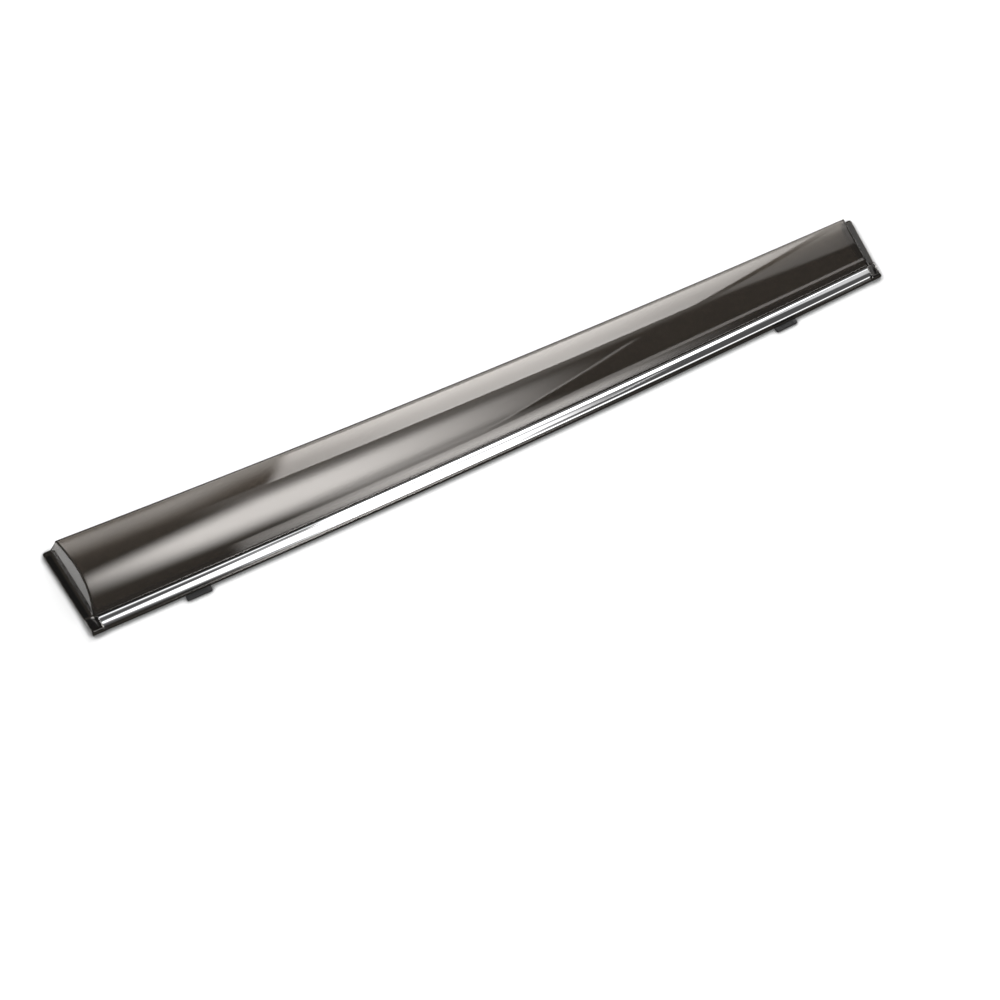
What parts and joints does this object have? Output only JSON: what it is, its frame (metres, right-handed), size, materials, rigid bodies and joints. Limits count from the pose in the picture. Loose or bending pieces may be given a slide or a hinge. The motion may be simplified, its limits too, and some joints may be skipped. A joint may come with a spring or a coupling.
{
  "type": "window rain deflector",
  "caption": "Smoked side-window rain deflector: a long crowned brow with leaning end walls, a bright trim strip let into its mounting flange, foam tape below and push-in channel clips.",
  "frame": {"origin": "middle of the mounting tape's adhesive face, at mid-length", "axes": "+X along the mounting edge from the wide end to the narrow end, +Y from the mounting edge towards the free edge, +Z away from the door frame, the way the brow rises"},
  "size_m": [0.9257, 0.1109, 0.0223],
  "materials": {
    "smoked_acrylic": "clear smoked acrylic, injection moulded, high gloss",
    "bright_trim": "bright chrome plate, mirror gloss",
    "bonding_film": "thin double-sided adhesive film",
    "foam_tape": "black closed-cell foam tape, matt",
    "clip_plastic": "black moulded plastic, fine satin"
  },
  "bodies": {
    "root": {"visor_shell": "smoked_acrylic", "trim_strip": "bright_trim", "trim_bond": "bonding_film", "mount_tape": "foam_tape", "wide_end_tape": "foam_tape", "narrow_end_tape": "foam_tape", "wide_end_clip": "clip_plastic", "narrow_end_clip": "clip_plastic"}
  },
  "joints": []
}
